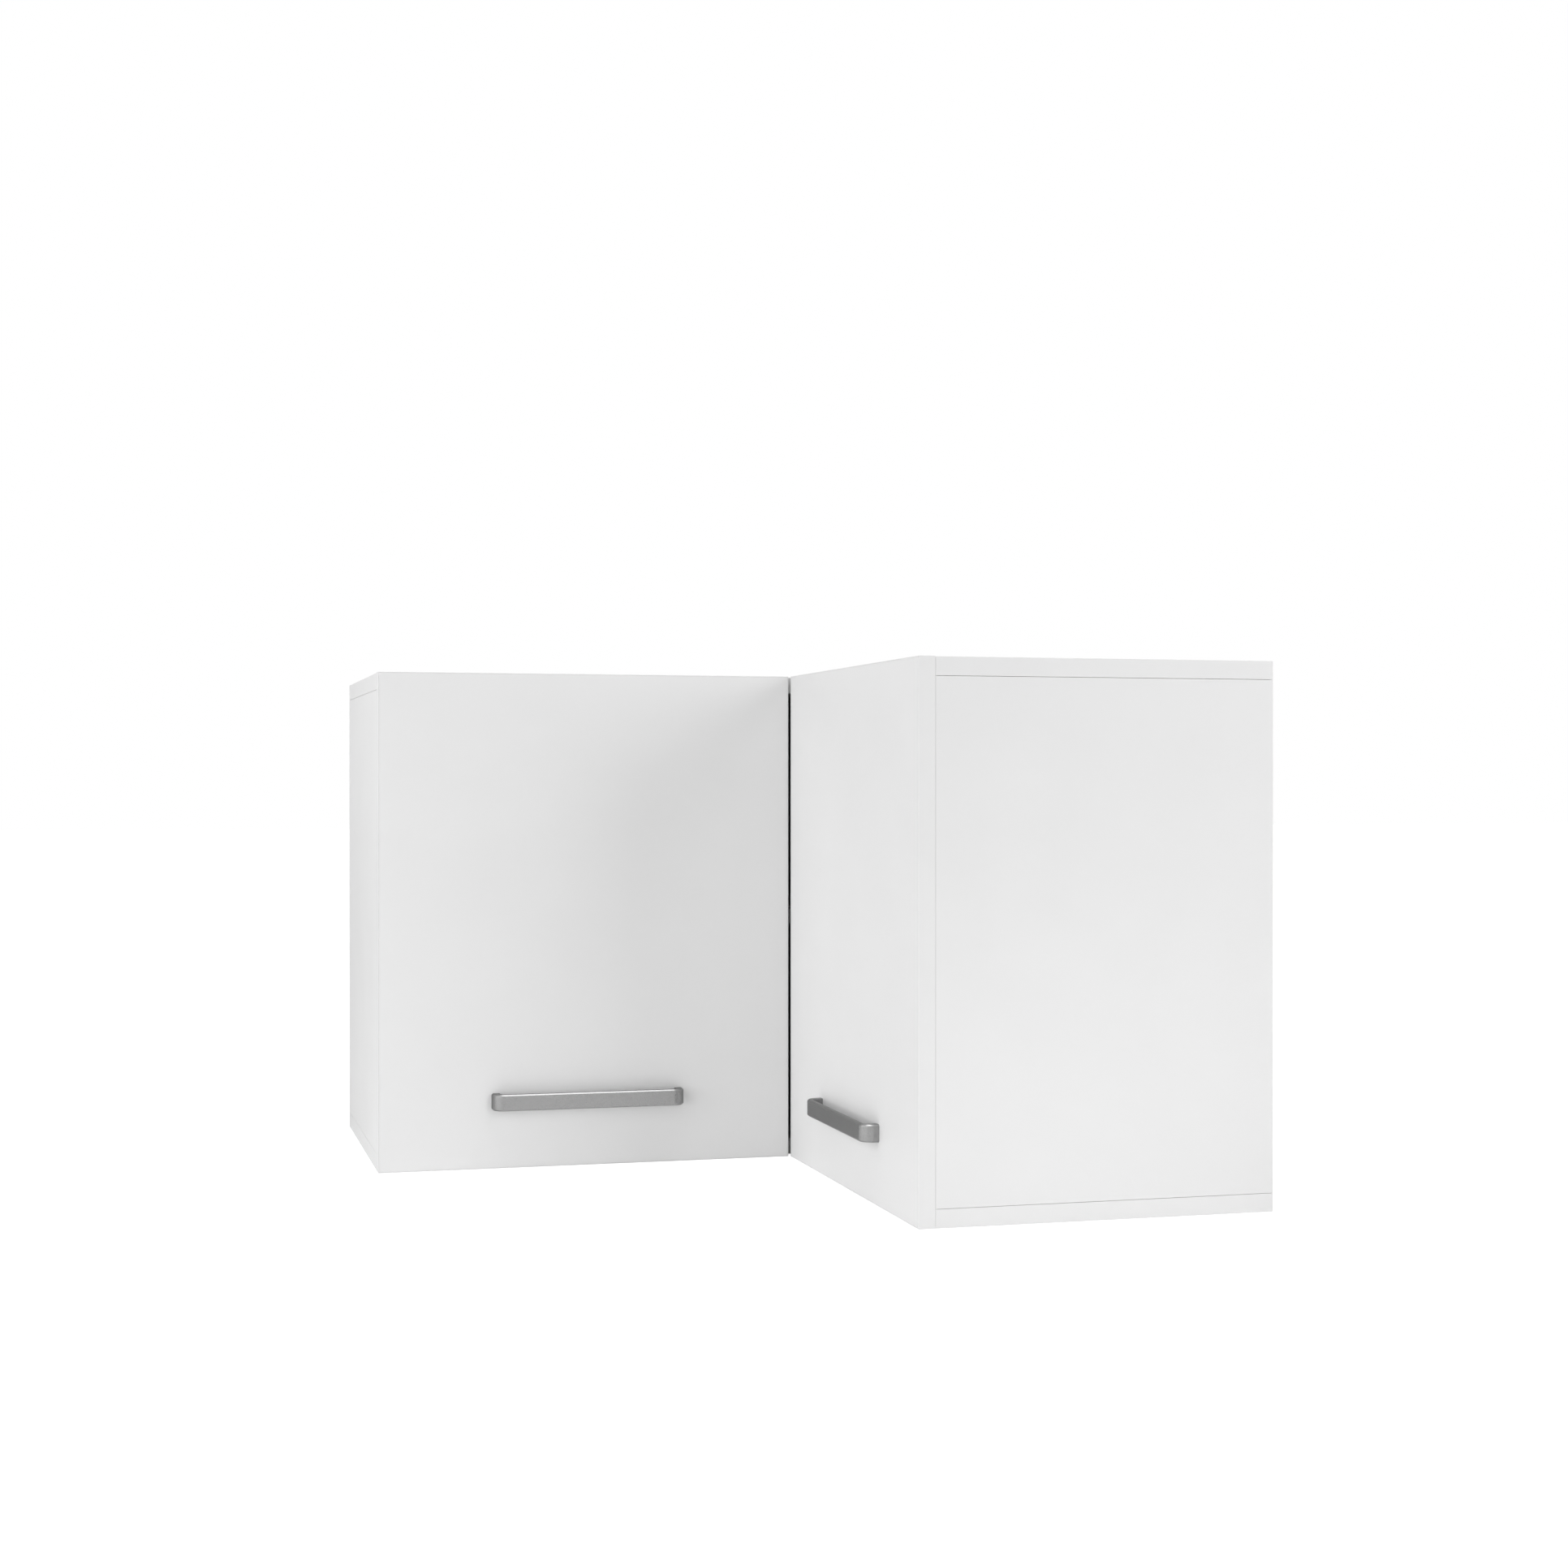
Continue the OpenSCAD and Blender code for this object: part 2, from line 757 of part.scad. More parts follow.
// pin in a wall whose face is at x 0: the shank goes to -X, the head under the shelf to +X
module shelf_pin() {
    rod_x(-pin_bore_d + hole_over, eps, shelf_pin_r);
    rod_x(0, pin_collar_t, pin_head_r);
    rod_x(1, pin_head_len, shelf_pin_r);
    // flat top that the shelf rests on
    translate([1, -shelf_pin_r, 0]) cube([pin_head_len - 1, 2 * shelf_pin_r, pin_head_r]);
}

module side_shelf_pins() {
    color("silver") for (y = pin_y) translate([side_in, y, shelf_z - pin_head_r]) shelf_pin();
}

module left_shelf_pins() {
    placed() side_shelf_pins();
}

module right_shelf_pins() {
    right_wing() side_shelf_pins();
}

module post_shelf_pins() {
    color("silver") placed() for (turn = [0, 1]) mirror([turn, -turn, 0])
        translate([back_in - post_w, back_in - post_pin_in, shelf_z - pin_head_r])
            mirror([1, 0, 0]) shelf_pin();
}

module dowels() {
    len = dowel_len - 2 * dowel_play;
    low = board_t - dowel_deep + dowel_play; // lower end of the lower dowels
    color("burlywood") placed() for (z = [low, carcass_h - low - len]) {
        for (turn = [0, 1], y = dowel_y) mirror([turn, -turn, 0]) translate([-wing_w + side_t / 2, y, z])
            cylinder(r = dowel_r, h = len);
        for (p = post_dowels) translate([p[0], p[1], z]) cylinder(r = dowel_r, h = len);
    }
}

// the middle of every cam in both side panels: children get the end (0 lower, 1 upper)
module at_cams() {
    for (turn = [0, 1], y = cam_y, end = [0, 1]) mirror([turn, -turn, 0])
        translate([side_in, y, carcass_h / 2]) mirror([0, 0, end])
            translate([0, 0, board_t + cam_inset - carcass_h / 2]) children();
}

module cam_housings() {
    color("silver") placed() at_cams() difference() {
        rod_x(-cam_d, -cam_sunk, cam_r);
        // mouth for the bolt's head
        translate([-side_t / 2, 0, -cam_r - 1])
            cylinder(r = bolt_r + cam_mouth, h = cam_r + bolt_r + 1 + 1.5 * cam_mouth);
    }
}

module cam_bolts() {
    color("silver") placed() at_cams() translate([-side_t / 2, 0, -cam_inset - bolt_deep + dowel_play]) {
        cylinder(r = bolt_r, h = bolt_deep - dowel_play);
        translate([0, 0, bolt_deep - dowel_play - eps])
            cylinder(r = bolt_neck_r, h = cam_inset - bolt_neck_r);
        translate([0, 0, cam_inset + bolt_deep - bolt_r]) cylinder(r = bolt_r, h = bolt_head_len);
    }
}

module cam_caps() {
    color("white") placed() at_cams() difference() {
        rod_x(0, cap_t, cam_r + cap_over);
        translate([cap_t, 0, 0]) cross_recess(cap_cross_len, cap_cross_d);
    }
}

// Wall hangers

// outline of the hook in the plane of its sheet: local x is Y, local y is Z
module hook_outline() {
    tip_y = plate_lip_y + lip_t + hang_gap;
    rear_y = back_in - hook_len;
    neck_y = back_in - hook_neck;
    polygon([
        [rear_y, hook_top], [tip_y + lip_t, hook_top], [tip_y + lip_t, hook_top - hook_drop],
        [tip_y, hook_top - hook_drop], [tip_y, hook_top - hook_bar], [neck_y, hook_top - hook_bar],
        [neck_y, hook_top - hook_h], [rear_y, hook_top - hook_h]
    ]);
}

// stands an outline drawn as [Y, Z] upright as a sheet between u0 and u0 + t
module upright_sheet(u0, t) {
    translate([side_in + u0, 0, 0]) rotate([90, 0, 90]) linear_extrude(t) children();
}

module at_height_screw() {
    translate([side_in, back_in - height_screw_in, hook_top - height_screw_below]) children();
}

module hanger_hook() {
    color("silver") difference() {
        upright_sheet(hook_u, hook_t) hook_outline();
        // hole for the height screw
        at_height_screw() rod_x(0, hanger_w, height_screw_r + height_play);
    }
}

module left_hanger_hook() {
    placed() hanger_hook();
}

module right_hanger_hook() {
    right_wing() hanger_hook();
}

// housing: a sheet box, open to the back panel where the hook leaves it
module hanger() {
    z0 = hanger_top - hanger_h;
    color("white") difference() {
        translate([side_in, back_in - hanger_d, z0]) cube([hanger_w, hanger_d - 0.2, hanger_h]);
        translate([side_in + hanger_t, back_in - hanger_d + hanger_t, z0 + hanger_t])
            cube([hanger_w - 2 * hanger_t, hanger_d, hanger_h - 2 * hanger_t]);
        // fixing screws through the housing's foot
        for (z = hanger_screw_z) translate([0, hanger_screw_y, z])
            rod_x(side_in - 1, side_in + hanger_t + 1, thin_hole_r);
        // access holes over the fixing screws and the adjusting screw
        for (z = hanger_screw_z) translate([0, hanger_screw_y, z])
            rod_x(side_in + hanger_w - hanger_t - 1, side_in + hanger_w + 1, access_r);
        at_height_screw() {
            rod_x(hanger_w - hanger_t - 1, hanger_w + 1, height_screw_r + height_play);
            rod_x(-1, hanger_t + 1, height_screw_r + height_play);
        }
    }
}

module left_hanger() {
    placed() hanger();
}

module right_hanger() {
    right_wing() hanger();
}

module hanger_screws() {
    color("silver") {
        for (z = hanger_screw_z) translate([side_in, hanger_screw_y, z]) {
            rod_x(-thin_deep, hanger_t + eps, thin_r);
            rod_x(hanger_t, hanger_t + thin_head_t, thin_head_r);
        }
        // height screw, across the housing and through the hook
        at_height_screw() {
            rod_x(slide_gap, hanger_w + eps, height_screw_r);
            rod_x(hanger_w, hanger_w + height_head_t, height_head_r);
        }
    }
}

module left_hanger_screws() {
    placed() hanger_screws();
}

module right_hanger_screws() {
    right_wing() hanger_screws();
}

// section of the wall plate: local x is Y, local y is Z
module wall_plate_section() {
    lip_top = hook_top - hook_bar - hang_gap;
    web_z = lip_top - lip_h;
    foot = lip_top - wall_plate_h;
    polygon([
        [wall, web_z + lip_t], [plate_lip_y + lip_t, web_z + lip_t], [plate_lip_y + lip_t, lip_top],
        [plate_lip_y, lip_top], [plate_lip_y, web_z], [flange_y, web_z], [flange_y, foot], [wall, foot]
    ]);
}

module wall_plate() {
    mid = wall_plate_u + wall_plate_len / 2;
    color("silver") difference() {
        upright_sheet(wall_plate_u, wall_plate_len) wall_plate_section();
        for (s = [-1, 1]) translate([side_in + mid + s * wall_slot_pitch / 2, 0, wall_slot_z])
            rod_y(flange_y - 1, wall + 1, wall_hole_r);
    }
}

module left_wall_plate() {
    placed() wall_plate();
}

module right_wall_plate() {
    right_wing() wall_plate();
}

top_panel();
bottom_panel();
shelf();
left_side_panel();
right_side_panel();
left_back_panel();
right_back_panel();
corner_post();
left_door();
right_door();
left_door_edging();
right_door_edging();
left_handle();
right_handle();
left_handle_screws();
right_handle_screws();
left_door_buffers();
right_door_buffers();
left_hinge_cups();
right_hinge_cups();
left_cup_screws();
right_cup_screws();
left_cup_pins();
right_cup_pins();
left_hinge_links();
right_hinge_links();
left_hinge_arms();
right_hinge_arms();
left_arm_pins();
right_arm_pins();
left_arm_screws();
right_arm_screws();
left_hinge_plates();
right_hinge_plates();
left_plate_screws();
right_plate_screws();
left_shelf_pins();
right_shelf_pins();
post_shelf_pins();
dowels();
cam_housings();
cam_bolts();
cam_caps();
left_hanger();
right_hanger();
left_hanger_hook();
right_hanger_hook();
left_hanger_screws();
right_hanger_screws();
left_wall_plate();
right_wall_plate();
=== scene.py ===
"""Dresses the corner wall cabinet: eased boards, edged doors, bow handles, fittings, finishes and a studio.

The CAD frame gives every place and size. Positions are in metres: Z is up, the left door faces -Y,
the right door faces -X, and the walls stand behind the cabinet at +X and +Y.
"""

import math

import bmesh
import bpy
from bpy.props import FloatProperty, FloatVectorProperty, PointerProperty
from mathutils import Matrix, Vector


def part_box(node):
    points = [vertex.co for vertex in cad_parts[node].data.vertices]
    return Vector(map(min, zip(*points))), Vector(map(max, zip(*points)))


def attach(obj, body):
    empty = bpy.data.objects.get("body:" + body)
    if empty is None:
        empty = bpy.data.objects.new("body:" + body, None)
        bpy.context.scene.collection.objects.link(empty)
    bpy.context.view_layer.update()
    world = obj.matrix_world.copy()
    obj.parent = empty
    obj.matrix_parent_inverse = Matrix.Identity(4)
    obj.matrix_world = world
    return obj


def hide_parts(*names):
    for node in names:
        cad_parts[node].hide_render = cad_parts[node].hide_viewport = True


bl_info = {
    "name": "Corner Wall Cabinet",
    "version": (1, 0, 0),
    "blender": (4, 5, 0),
    "location": "View3D > Sidebar > Cabinet",
    "description": "Finishes a corner wall cabinet with its boards, doors, handles, fittings and studio",
    "category": "Object",
}

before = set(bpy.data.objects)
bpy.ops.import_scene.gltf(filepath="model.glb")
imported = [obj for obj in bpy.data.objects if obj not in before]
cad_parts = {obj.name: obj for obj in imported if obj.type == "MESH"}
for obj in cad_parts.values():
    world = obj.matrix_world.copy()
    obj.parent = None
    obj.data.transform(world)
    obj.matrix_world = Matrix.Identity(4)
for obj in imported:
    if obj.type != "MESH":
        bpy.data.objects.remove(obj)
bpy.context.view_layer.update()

MM = 0.001
WELD = 0.002 * MM                  # CAD triangles share corners closer than this
FLAT = math.radians(0.5)           # faces closer than this in direction are one flat face
ARRIS = math.radians(35)           # edges that turn more than this are arrises to ease
CREASE = math.radians(50)          # eased edges that still turn more than this are shaded sharp
BOARD_EDGE = 15 * MM               # the arrises of boards that are eased are at least this long
FITTING_EDGE = 2 * MM              # the arrises of fittings that are eased are at least this long
LEVEL = 0.99                       # a face is level if its normal's Z is more than this
UPRIGHT = 0.01                     # a face is upright if its normal's Z is less than this
SIDES = ("left", "right")
SWAP_XY = Matrix(((0, 1, 0, 0), (1, 0, 0, 0), (0, 0, 1, 0), (0, 0, 0, 1)))   # left wing to right wing

BOARD_LOW, BOARD_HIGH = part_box("top_panel")
WALL = BOARD_HIGH.x                # both walls touch the cabinet at this X and this Y
WING_END = BOARD_LOW.x             # both wings end at this X or this Y
PANEL_LOW, PANEL_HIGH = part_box("left_side_panel")
CARCASS_FRONT = PANEL_LOW.y        # front of the carcass, of the left wing in Y and of the right in X


# Colours

def linear(hex_colour):
    """An sRGB colour such as #EDEDEC as linear red, green and blue."""
    channels = [int(hex_colour[k:k + 2], 16) / 255 for k in (1, 3, 5)]
    return [c / 12.92 if c <= 0.04045 else ((c + 0.055) / 1.055) ** 2.4 for c in channels]


def rgba(colour):
    return (*colour, 1.0)


def shade(colour, share):
    """The colour times share: darker below 1, and lighter above."""
    return [c * share for c in colour]


# Settings that a user would change

class CarcassSettings(bpy.types.PropertyGroup):
    ease: FloatProperty(name="Arris", description="Width of the easing on the edges of the boards",
                        default=0.2 * MM, unit="LENGTH")
    joint: FloatProperty(name="Joint", description="Width of the open line between the boards",
                         default=0.3 * MM, unit="LENGTH")
    edging: FloatProperty(name="Front edging", description="Thickness of the edging on the front edges",
                          default=0.88 * MM, unit="LENGTH")
    edging_arris: FloatProperty(name="Edging arris", description="Width of the easing on the front edging",
                                default=0.1 * MM, unit="LENGTH")
    melamine: FloatVectorProperty(name="Melamine", description="Colour of the faced boards",
                                  default=linear("#EDEDED"), subtype="COLOR", min=0, max=1)
    chipboard: FloatVectorProperty(name="Chipboard", description="Colour of raw cut chipboard",
                                   default=linear("#B8976A"), subtype="COLOR", min=0, max=1)
    hardboard: FloatVectorProperty(name="Hardboard", description="Colour of the back panels' raw rear",
                                   default=linear("#8C6B4C"), subtype="COLOR", min=0, max=1)


class DoorSettings(bpy.types.PropertyGroup):
    seam: FloatProperty(name="Seam", description="Width of the fine line between a door's face and edging",
                        default=0.12 * MM, unit="LENGTH")
    front_arris: FloatProperty(name="Front arris", description="Width of the easing on the edging in front",
                               default=0.4 * MM, unit="LENGTH")
    rear_arris: FloatProperty(name="Rear arris", description="Width of the easing on the edging behind",
                              default=0.12 * MM, unit="LENGTH")


class HandleSettings(bpy.types.PropertyGroup):
    leg: FloatProperty(name="Leg", description="Width of a leg", default=9.2 * MM, unit="LENGTH")
    strap: FloatProperty(name="Strap", description="Thickness of the strap", default=5.5 * MM,
                         unit="LENGTH")
    bend: FloatProperty(name="Outer bend", description="Outer radius of the bends",
                        default=13.5 * MM, unit="LENGTH")
    inner_bend: FloatProperty(name="Inner bend", description="Inner radius of the bends",
                              default=6 * MM, unit="LENGTH")
    chamfer: FloatProperty(name="Chamfer", description="Width of the chamfers on the outer arrises",
                           default=1.6 * MM, unit="LENGTH")
    polish: FloatProperty(name="Polish", description="Rounding of the chamfers' own arrises",
                          default=0.35 * MM, unit="LENGTH")
    rear_round: FloatProperty(name="Rear rounding", description="Rounding of the arrises behind the strap",
                              default=0.8 * MM, unit="LENGTH")
    nickel: FloatVectorProperty(name="Nickel", description="Colour of the satin nickel plating",
                                default=linear("#9A9A9A"), subtype="COLOR", min=0, max=1)


class FittingSettings(bpy.types.PropertyGroup):
    ease: FloatProperty(name="Arris", description="Width of the easing on hinges and hangers",
                        default=0.25 * MM, unit="LENGTH")
    cap_round: FloatProperty(name="Cap rounding", description="Rounding of the rims of caps and buffers",
                             default=0.4 * MM, unit="LENGTH")
    plastic: FloatVectorProperty(name="Plastic", description="Colour of the moulded caps and hangers",
                                 default=linear("#E9E9E6"), subtype="COLOR", min=0, max=1)


class StudioSettings(bpy.types.PropertyGroup):
    camera_place: FloatVectorProperty(name="Camera", description="Place of the camera",
                                      default=(-0.65948, -2.55572, 0.41946), subtype="TRANSLATION")
    camera_heading: FloatProperty(name="Heading", description="Turn of the camera from straight ahead",
                                  default=math.radians(-15.04), subtype="ANGLE")
    lens: FloatProperty(name="Lens", description="Focal length on a 36 mm sensor, in millimetres",
                        default=54.93)
    sky: FloatProperty(name="Surround", description="Strength of the even light from all round",
                       default=0.255)
    top_softbox: FloatProperty(name="Top light", description="Power of the large soft light overhead",
                               default=31.4, subtype="POWER")
    key_softbox: FloatProperty(name="Key light", description="Power of the soft light at the front right",
                               default=21.9, subtype="POWER")
    left_softbox: FloatProperty(name="Left light", description="Power of the large soft light at the left",
                                default=36.8, subtype="POWER")
    left_strip: FloatProperty(name="Left strip", description="Power of the strip on the floor at the left",
                              default=2.4, subtype="POWER")
    front_strip: FloatProperty(name="Front strip", description="Power of the strip on the floor in front",
                               default=0.34, subtype="POWER")
    floor_glow: FloatProperty(name="Floor white", default=0.85, min=0, max=1,
                              description="White that the floor shows by itself, to the camera alone")
    floor_sheen: FloatProperty(name="Floor in metal", default=0.3, min=0, max=1,
                               description="White that the floor shows by itself, in reflections alone")


class CabinetSettings(bpy.types.PropertyGroup):
    carcass: PointerProperty(type=CarcassSettings)
    door: PointerProperty(type=DoorSettings)
    handle: PointerProperty(type=HandleSettings)
    fitting: PointerProperty(type=FittingSettings)
    studio: PointerProperty(type=StudioSettings)


def settings():
    return bpy.context.scene.corner_cabinet


# Materials

def add(tree, kind, inputs=None, **values):
    """Adds a node with its values. An input is a number, a colour, a socket, or a node, which stands for
    its first output."""
    node = tree.nodes.new(kind)
    for name, value in values.items():
        setattr(node, name, value)
    for key, value in (inputs or {}).items():
        socket = node.inputs[key] if isinstance(key, int) else next(
            s for s in node.inputs if s.name == key and s.enabled)
        if isinstance(value, bpy.types.Node):
            value = next(s for s in value.outputs if s.enabled)
        if isinstance(value, bpy.types.NodeSocket):
            tree.links.new(value, socket)
        else:
            socket.default_value = value
    return node


def empty_tree(owner):
    """The node tree of a material or a world, with no nodes."""
    owner.use_nodes = True
    owner.node_tree.nodes.clear()
    return owner.node_tree


def begin(name, constants):
    """A new material, its node tree and its Principled shader, with the constants on its own sockets."""
    material = bpy.data.materials.new(name)
    tree = empty_tree(material)
    shader = add(tree, "ShaderNodeBsdfPrincipled", constants)
    add(tree, "ShaderNodeOutputMaterial", {"Surface": shader})
    return material, tree, shader


def cover(shader, colour, surface, gloss=None):
    """Links the colour, the bumps and, unless the gloss is even, the roughness to the shader."""
    links = shader.id_data.links
    # a mix node's third output is its mixed colour
    links.new(colour.outputs[2], shader.inputs["Base Color"])
    links.new(surface.outputs["Normal"], shader.inputs["Normal"])
    if gloss:
        links.new(gloss.outputs["Result"], shader.inputs["Roughness"])


def faced_chipboard():
    """White melamine paper pressed on chipboard: an even satin white whose fine pearl makes highlights
    broad and soft. The rear edges against the walls aren't edged, and show the pressed wood flakes."""
    own = settings().carcass
    material, tree, shader = begin("white_melamine_chipboard", {"IOR": 1.5})
    place = add(tree, "ShaderNodeTexCoord").outputs["Object"]
    # the paper's tone drifts a little over a hand's breadth
    drift = add(tree, "ShaderNodeTexNoise", {"Vector": place, "Scale": 1 / (80 * MM), "Detail": 1.0})
    face = add(tree, "ShaderNodeMix", {"Factor": drift, "A": rgba(shade(own.melamine, 0.985)),
                                       "B": rgba(shade(own.melamine, 1.015))}, data_type="RGBA")
    # the press plate's pearl is about 0.4 mm across; it is drawn at 1.5 mm so that it shows
    pearl = add(tree, "ShaderNodeTexNoise", {"Vector": place, "Scale": 1 / (1.5 * MM), "Detail": 3.0})
    # wood flakes are 1 to 4 mm long
    flakes = add(tree, "ShaderNodeTexVoronoi", {"Vector": place, "Scale": 1 / (2.5 * MM)}, feature="F1")
    raw = add(tree, "ShaderNodeMix", {"Factor": flakes.outputs["Color"],
                                      "A": rgba(shade(own.chipboard, 0.55)),
                                      "B": rgba(shade(own.chipboard, 1.3))}, data_type="RGBA")
    axes = add(tree, "ShaderNodeSeparateXYZ", {"Vector": place})
    outermost = add(tree, "ShaderNodeMath", {0: axes.outputs["X"], 1: axes.outputs["Y"]},
                    operation="MAXIMUM")
    # the raw rims lie within 0.1 mm of a wall
    at_wall = add(tree, "ShaderNodeMath", {0: outermost, 1: WALL - 0.1 * MM}, operation="GREATER_THAN")
    colour = add(tree, "ShaderNodeMix", {"Factor": at_wall, "A": face, "B": raw}, data_type="RGBA")
    gloss = add(tree, "ShaderNodeMapRange", {"Value": pearl, "To Min": 0.4, "To Max": 0.52})
    # the flakes stand out ten times as far as the pearl
    rough = add(tree, "ShaderNodeMath", {0: at_wall, 1: 10.0}, operation="MULTIPLY")
    relief = add(tree, "ShaderNodeMath", {0: flakes.outputs["Distance"], 1: rough, 2: pearl},
                 operation="MULTIPLY_ADD")
    surface = add(tree, "ShaderNodeBump", {"Height": relief, "Distance": 0.01 * MM})
    cover(shader, colour, surface, gloss)
    return material


def white_edging():
    """White ABS edging, rolled on and scraped flush: the white of the faces, and a little smoother."""
    material, tree, shader = begin("white_abs_edging", {"IOR": 1.53})
    place = add(tree, "ShaderNodeTexCoord").outputs["Object"]
    melamine = settings().carcass.melamine
    drift = add(tree, "ShaderNodeTexNoise", {"Vector": place, "Scale": 1 / (40 * MM), "Detail": 1.0})
    colour = add(tree, "ShaderNodeMix", {"Factor": drift, "A": rgba(shade(melamine, 0.98)),
                                         "B": rgba(shade(melamine, 1.01))}, data_type="RGBA")
    # the scraper's ripple is about 1 mm long
    ripple = add(tree, "ShaderNodeTexNoise", {"Vector": place, "Scale": 1 / (1.2 * MM), "Detail": 2.0})
    gloss = add(tree, "ShaderNodeMapRange", {"Value": ripple, "To Min": 0.34, "To Max": 0.46})
    surface = add(tree, "ShaderNodeBump", {"Height": ripple, "Distance": 0.008 * MM})
    cover(shader, colour, surface, gloss)
    return material


def lacquered_hardboard():
    """Thin pressed fibreboard: white lacquer on the inside, and raw brown fibres behind, where the press
    screen has left a fine mesh."""
    own = settings().carcass
    material, tree, shader = begin("lacquered_hardboard", {"IOR": 1.5})
    where = add(tree, "ShaderNodeTexCoord")
    place = where.outputs["Object"]
    drift = add(tree, "ShaderNodeTexNoise", {"Vector": place, "Scale": 1 / (50 * MM), "Detail": 2.0})
    lacquer = add(tree, "ShaderNodeMix", {"Factor": drift, "A": rgba(shade(own.melamine, 0.96)),
                                          "B": rgba(own.melamine)}, data_type="RGBA")
    fibres = add(tree, "ShaderNodeTexNoise", {"Vector": place, "Scale": 1 / (3 * MM), "Detail": 6.0,
                                              "Distortion": 1.5})
    raw = add(tree, "ShaderNodeMix", {"Factor": fibres, "A": rgba(shade(own.hardboard, 0.6)),
                                      "B": rgba(shade(own.hardboard, 1.4))}, data_type="RGBA")
    facing = add(tree, "ShaderNodeSeparateXYZ", {"Vector": where.outputs["Normal"]})
    outward = add(tree, "ShaderNodeMath", {0: facing.outputs["X"], 1: facing.outputs["Y"]}, operation="ADD")
    behind = add(tree, "ShaderNodeMath", {0: outward, 1: 0.5}, operation="GREATER_THAN")
    colour = add(tree, "ShaderNodeMix", {"Factor": behind, "A": lacquer, "B": raw}, data_type="RGBA")
    gloss = add(tree, "ShaderNodeMapRange", {"Value": behind, "To Min": 0.45, "To Max": 0.85})
    # the screen's wires are 1.6 mm apart; they are drawn 3 mm apart so that they show, and the texture
    # repeats every tau / 20 at a scale of 1
    scale = math.tau / 20 / (3 * MM)
    wires = [add(tree, "ShaderNodeTexWave", {"Vector": place, "Scale": scale}, bands_direction=way)
             for way in "XYZ"]
    level = add(tree, "ShaderNodeMath", {0: wires[0].outputs["Fac"], 1: wires[1].outputs["Fac"]},
                operation="MAXIMUM")
    mesh = add(tree, "ShaderNodeMath", {0: level, 1: wires[2].outputs["Fac"]}, operation="MULTIPLY")
    height = add(tree, "ShaderNodeMath", {0: mesh, 1: behind}, operation="MULTIPLY")
    surface = add(tree, "ShaderNodeBump", {"Height": height, "Distance": 0.15 * MM})
    cover(shader, colour, surface, gloss)
    return material


def metal(name, colour, roughness, mark, depth, spread=0.05, stretch=(1, 1, 1), rim=1.0):
    """A bare or plated metal: its tone drifts by spread, its marks have one size, way and depth, and rim is
    how much of the extra light at a grazing angle it sends back."""
    material, tree, shader = begin(name, {"Metallic": 1.0, "Specular Tint": rgba((rim, rim, rim))})
    place = add(tree, "ShaderNodeTexCoord").outputs["Object"]
    drift = add(tree, "ShaderNodeTexNoise", {"Vector": place, "Scale": 1 / (9 * MM), "Detail": 2.0})
    tone = add(tree, "ShaderNodeMix", {"Factor": drift, "A": rgba(shade(colour, 1 - spread)),
                                       "B": rgba(shade(colour, 1 + spread))}, data_type="RGBA")
    along = add(tree, "ShaderNodeMapping", {"Vector": place, "Scale": stretch})
    marks = add(tree, "ShaderNodeTexNoise", {"Vector": along, "Scale": 1 / mark, "Detail": 3.0})
    # the marks' hollows are a little glossier than the plating, and their ridges duller
    gloss = add(tree, "ShaderNodeMapRange", {"Value": marks, "From Min": 0.3, "From Max": 0.7,
                                             "To Min": roughness - 0.04, "To Max": roughness + 0.06})
    surface = add(tree, "ShaderNodeBump", {"Height": marks, "Distance": depth})
    cover(shader, tone, surface, gloss)
    return material


def satin_nickel():
    """Nickel plating on die cast zinc, tumbled to a satin: a mid grey metal with soft highlights, that
    stays grey where it is seen at a slant. Its marks of 0.2 mm are drawn at 0.8 mm so that they show."""
    return metal("satin_nickel_plating", settings().handle.nickel, 0.28, 0.8 * MM, 0.005 * MM, spread=0.03,
                 rim=0.58)


def hinge_nickel():
    """Bright nickel on pressed and cast hinge pieces: clear reflections over faint press ripples."""
    return metal("bright_nickel_plated_steel", linear("#C9C5BE"), 0.2, 2.5 * MM, 0.012 * MM)


def zinc_plate():
    """Clear passivated zinc on screws and hangers: a bluish, slightly cloudy metal."""
    return metal("zinc_plated_steel", linear("#B9BEC4"), 0.36, 1.5 * MM, 0.012 * MM, spread=0.12)


def pin_steel():
    """Plain drawn steel of the hinge pins: a darker grey, with fine marks along the upright pins."""
    return metal("drawn_pin_steel", linear("#9A9A9A"), 0.28, 0.5 * MM, 0.006 * MM, stretch=(1, 1, 0.1))


def cast_zinc():
    """Tumbled die cast zinc of the cam housings: matt, with the grain of the mould."""
    return metal("die_cast_zinc", linear("#A7A9AC"), 0.5, 0.8 * MM, 0.02 * MM)


def moulded_plastic():
    """White ABS from a spark-eroded mould: an even, slightly rough skin that scatters its highlights."""
    material, tree, shader = begin("moulded_white_abs", {"IOR": 1.53})
    place = add(tree, "ShaderNodeTexCoord").outputs["Object"]
    plastic = settings().fitting.plastic
    drift = add(tree, "ShaderNodeTexNoise", {"Vector": place, "Scale": 1 / (15 * MM), "Detail": 1.0})
    colour = add(tree, "ShaderNodeMix", {"Factor": drift, "A": rgba(shade(plastic, 0.97)),
                                         "B": rgba(shade(plastic, 1.02))}, data_type="RGBA")
    # the eroded skin is about 0.3 mm; it is drawn at 0.7 mm so that it shows
    skin = add(tree, "ShaderNodeTexNoise", {"Vector": place, "Scale": 1 / (0.7 * MM), "Detail": 3.0})
    gloss = add(tree, "ShaderNodeMapRange", {"Value": skin, "To Min": 0.38, "To Max": 0.55})
    surface = add(tree, "ShaderNodeBump", {"Height": skin, "Distance": 0.015 * MM})
    cover(shader, colour, surface, gloss)
    return material


